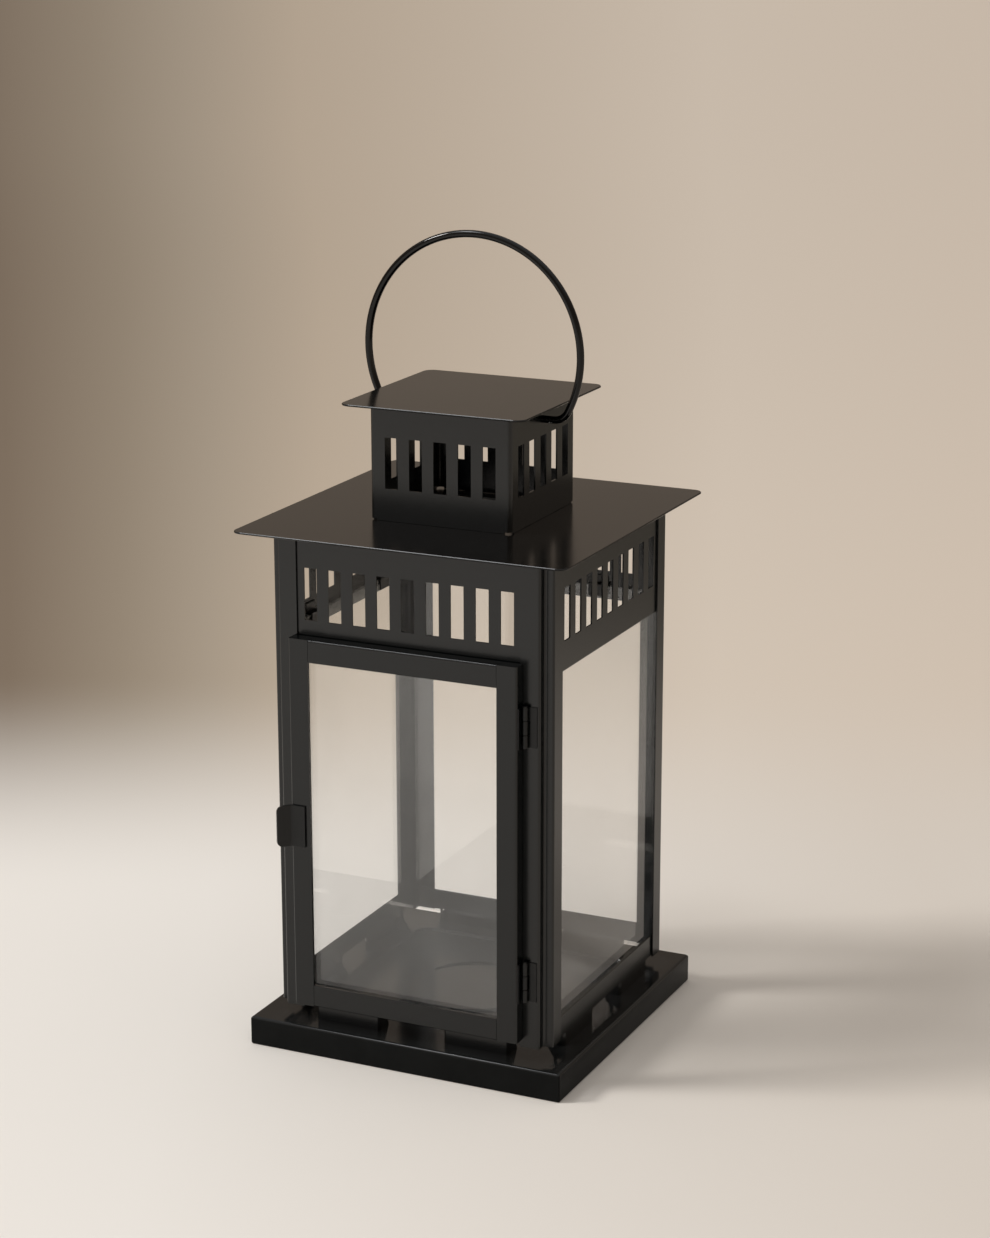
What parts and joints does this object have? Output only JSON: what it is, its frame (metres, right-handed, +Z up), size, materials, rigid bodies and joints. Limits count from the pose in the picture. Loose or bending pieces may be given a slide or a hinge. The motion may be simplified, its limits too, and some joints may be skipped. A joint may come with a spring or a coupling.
{
  "type": "candle lantern",
  "caption": "Square black steel candle lantern with slotted vents, glass panes, a hinged glass door, a vented turret and a wire bail handle.",
  "frame": {"origin": "centre of the base tray, on the surface that the lantern stands on", "axes": "+Z up, -Y towards the front with the door, +X towards the door's hinges"},
  "size_m": [0.1516, 0.1519, 0.3492],
  "materials": {
    "body_coat": "satin black powder coat",
    "door_coat": "satin black powder coat",
    "roof_coat": "semi-matt black powder coat",
    "tray_coat": "satin black powder coat",
    "wire_coat": "semi-gloss black coat on wire",
    "fitting_coat": "satin black powder coat",
    "spring_steel": "blackened spring steel",
    "clear_glass": "clear float glass"
  },
  "bodies": {
    "body": {"base_tray": "tray_coat", "glass_pane_back": "clear_glass", "glass_pane_left": "clear_glass", "glass_pane_right": "clear_glass", "hinge_lower_pin": "fitting_coat", "hinge_lower_post_leaf": "fitting_coat", "hinge_upper_pin": "fitting_coat", "hinge_upper_post_leaf": "fitting_coat", "lower_rail_back": "body_coat", "lower_rail_front": "body_coat", "lower_rail_left": "body_coat", "lower_rail_right": "body_coat", "pane_clips": "spring_steel", "post_back_left": "body_coat", "post_back_right": "body_coat", "post_front_left": "body_coat", "post_front_right": "body_coat", "roof_plate": "roof_coat", "slotted_band_back": "body_coat", "slotted_band_front": "body_coat", "slotted_band_left": "body_coat", "slotted_band_right": "body_coat", "turret_roof": "roof_coat", "turret_shell": "body_coat"},
    "door": {"door_catch_spring": "spring_steel", "door_glass": "clear_glass", "door_glass_clips": "spring_steel", "door_pull": "fitting_coat", "door_rail_bottom": "door_coat", "door_rail_top": "door_coat", "door_stile_hinge": "door_coat", "door_stile_pull": "door_coat", "hinge_lower_door_leaf": "fitting_coat", "hinge_upper_door_leaf": "fitting_coat"},
    "bail": {"bail_handle": "wire_coat"}
  },
  "joints": [
    {"name": "door_hinge", "type": "hinge", "parent": "body", "child": "door", "pos_m": [0.05405, -0.06595, 0.10335], "axis": [0, 0, 1], "range_deg": [0, 120]},
    {"name": "bail_pivot", "type": "hinge", "parent": "body", "child": "bail", "pos_m": [0, 0, 0.2721], "axis": [1, 0, 0], "range_deg": [-122, 122]}
  ]
}
